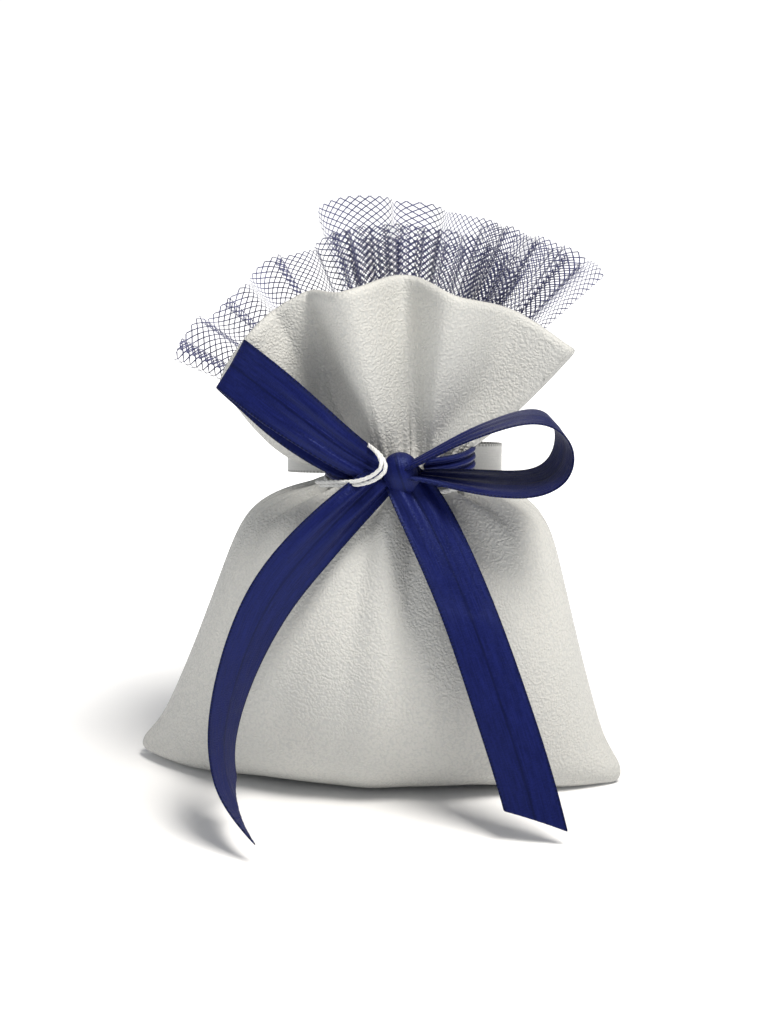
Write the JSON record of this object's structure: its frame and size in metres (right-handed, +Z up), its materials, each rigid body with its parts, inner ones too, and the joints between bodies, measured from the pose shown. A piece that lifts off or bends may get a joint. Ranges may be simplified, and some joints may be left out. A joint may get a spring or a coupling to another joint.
{
  "type": "drawstring gift pouch",
  "caption": "Small fabric favour pouch with a flared collar and net frill, gathered at the neck by a cord and a satin ribbon bow, holding sugared almonds.",
  "frame": {"origin": "middle of the flat base, on the surface that the pouch stands on", "axes": "+X to the right seen from the bow side, +Y to the back, +Z up"},
  "size_m": [0.0815, 0.0623, 0.1065],
  "materials": {
    "crepe": "matte pebbled crepe with a faint pearl sheen",
    "white_thread": "matte sewing thread",
    "white_cord": "twisted viscose cord, soft sheen",
    "white_tape": "white satin tape",
    "navy_satin": "glossy satin ribbon with woven edges",
    "navy_net": "fine diamond net",
    "navy_thread": "matte sewing thread",
    "sugar_coating": "hard white sugar shell, eggshell sheen"
  },
  "bodies": {
    "pouch": {"front_panel": "crepe", "back_panel": "crepe", "front_collar_hem": "crepe", "back_collar_hem": "crepe", "left_side_stitching": "white_thread", "right_side_stitching": "white_thread", "bottom_stitching": "white_thread", "drawcord": "white_cord", "tape_left_loop": "white_tape", "tape_right_loop": "white_tape", "tape_knot": "white_tape", "ribbon_neck_wrap": "navy_satin", "ribbon_knot": "navy_satin", "net_bag_front": "navy_net", "net_bag_back": "navy_net", "net_frill_front": "navy_net", "net_frill_back": "navy_net", "net_frill_left": "navy_net", "net_tie_thread": "navy_thread", "sugared_almond_1": "sugar_coating", "sugared_almond_2": "sugar_coating", "sugared_almond_3": "sugar_coating", "sugared_almond_4": "sugar_coating", "sugared_almond_5": "sugar_coating"},
    "left_bow_loop": {"left_loop": "navy_satin", "drawcord_front_loop": "white_cord"},
    "right_bow_loop": {"right_loop": "navy_satin"},
    "left_ribbon_tail": {"left_tail": "navy_satin"},
    "right_ribbon_tail": {"right_tail": "navy_satin"}
  },
  "joints": [
    {"name": "left_loop_flex", "type": "hinge", "parent": "pouch", "child": "left_bow_loop", "pos_m": [0.001, -0.0136, 0.0615], "axis": [0.5408, 0, 0.8412], "range_deg": [0, 28], "stiffness_Nm_per_rad": 0.002},
    {"name": "right_loop_flex", "type": "hinge", "parent": "pouch", "child": "right_bow_loop", "pos_m": [0.0086, -0.0142, 0.061], "axis": [0, 1, 0], "range_deg": [-6, 6], "stiffness_Nm_per_rad": 0.002},
    {"name": "left_tail_swing", "type": "hinge", "parent": "pouch", "child": "left_ribbon_tail", "pos_m": [0.001, -0.0146, 0.0586], "axis": [-1, 0, 0], "range_deg": [0, 50]},
    {"name": "right_tail_swing", "type": "hinge", "parent": "pouch", "child": "right_ribbon_tail", "pos_m": [0.0065, -0.0146, 0.058], "axis": [-1, 0, 0], "range_deg": [0, 50]}
  ]
}
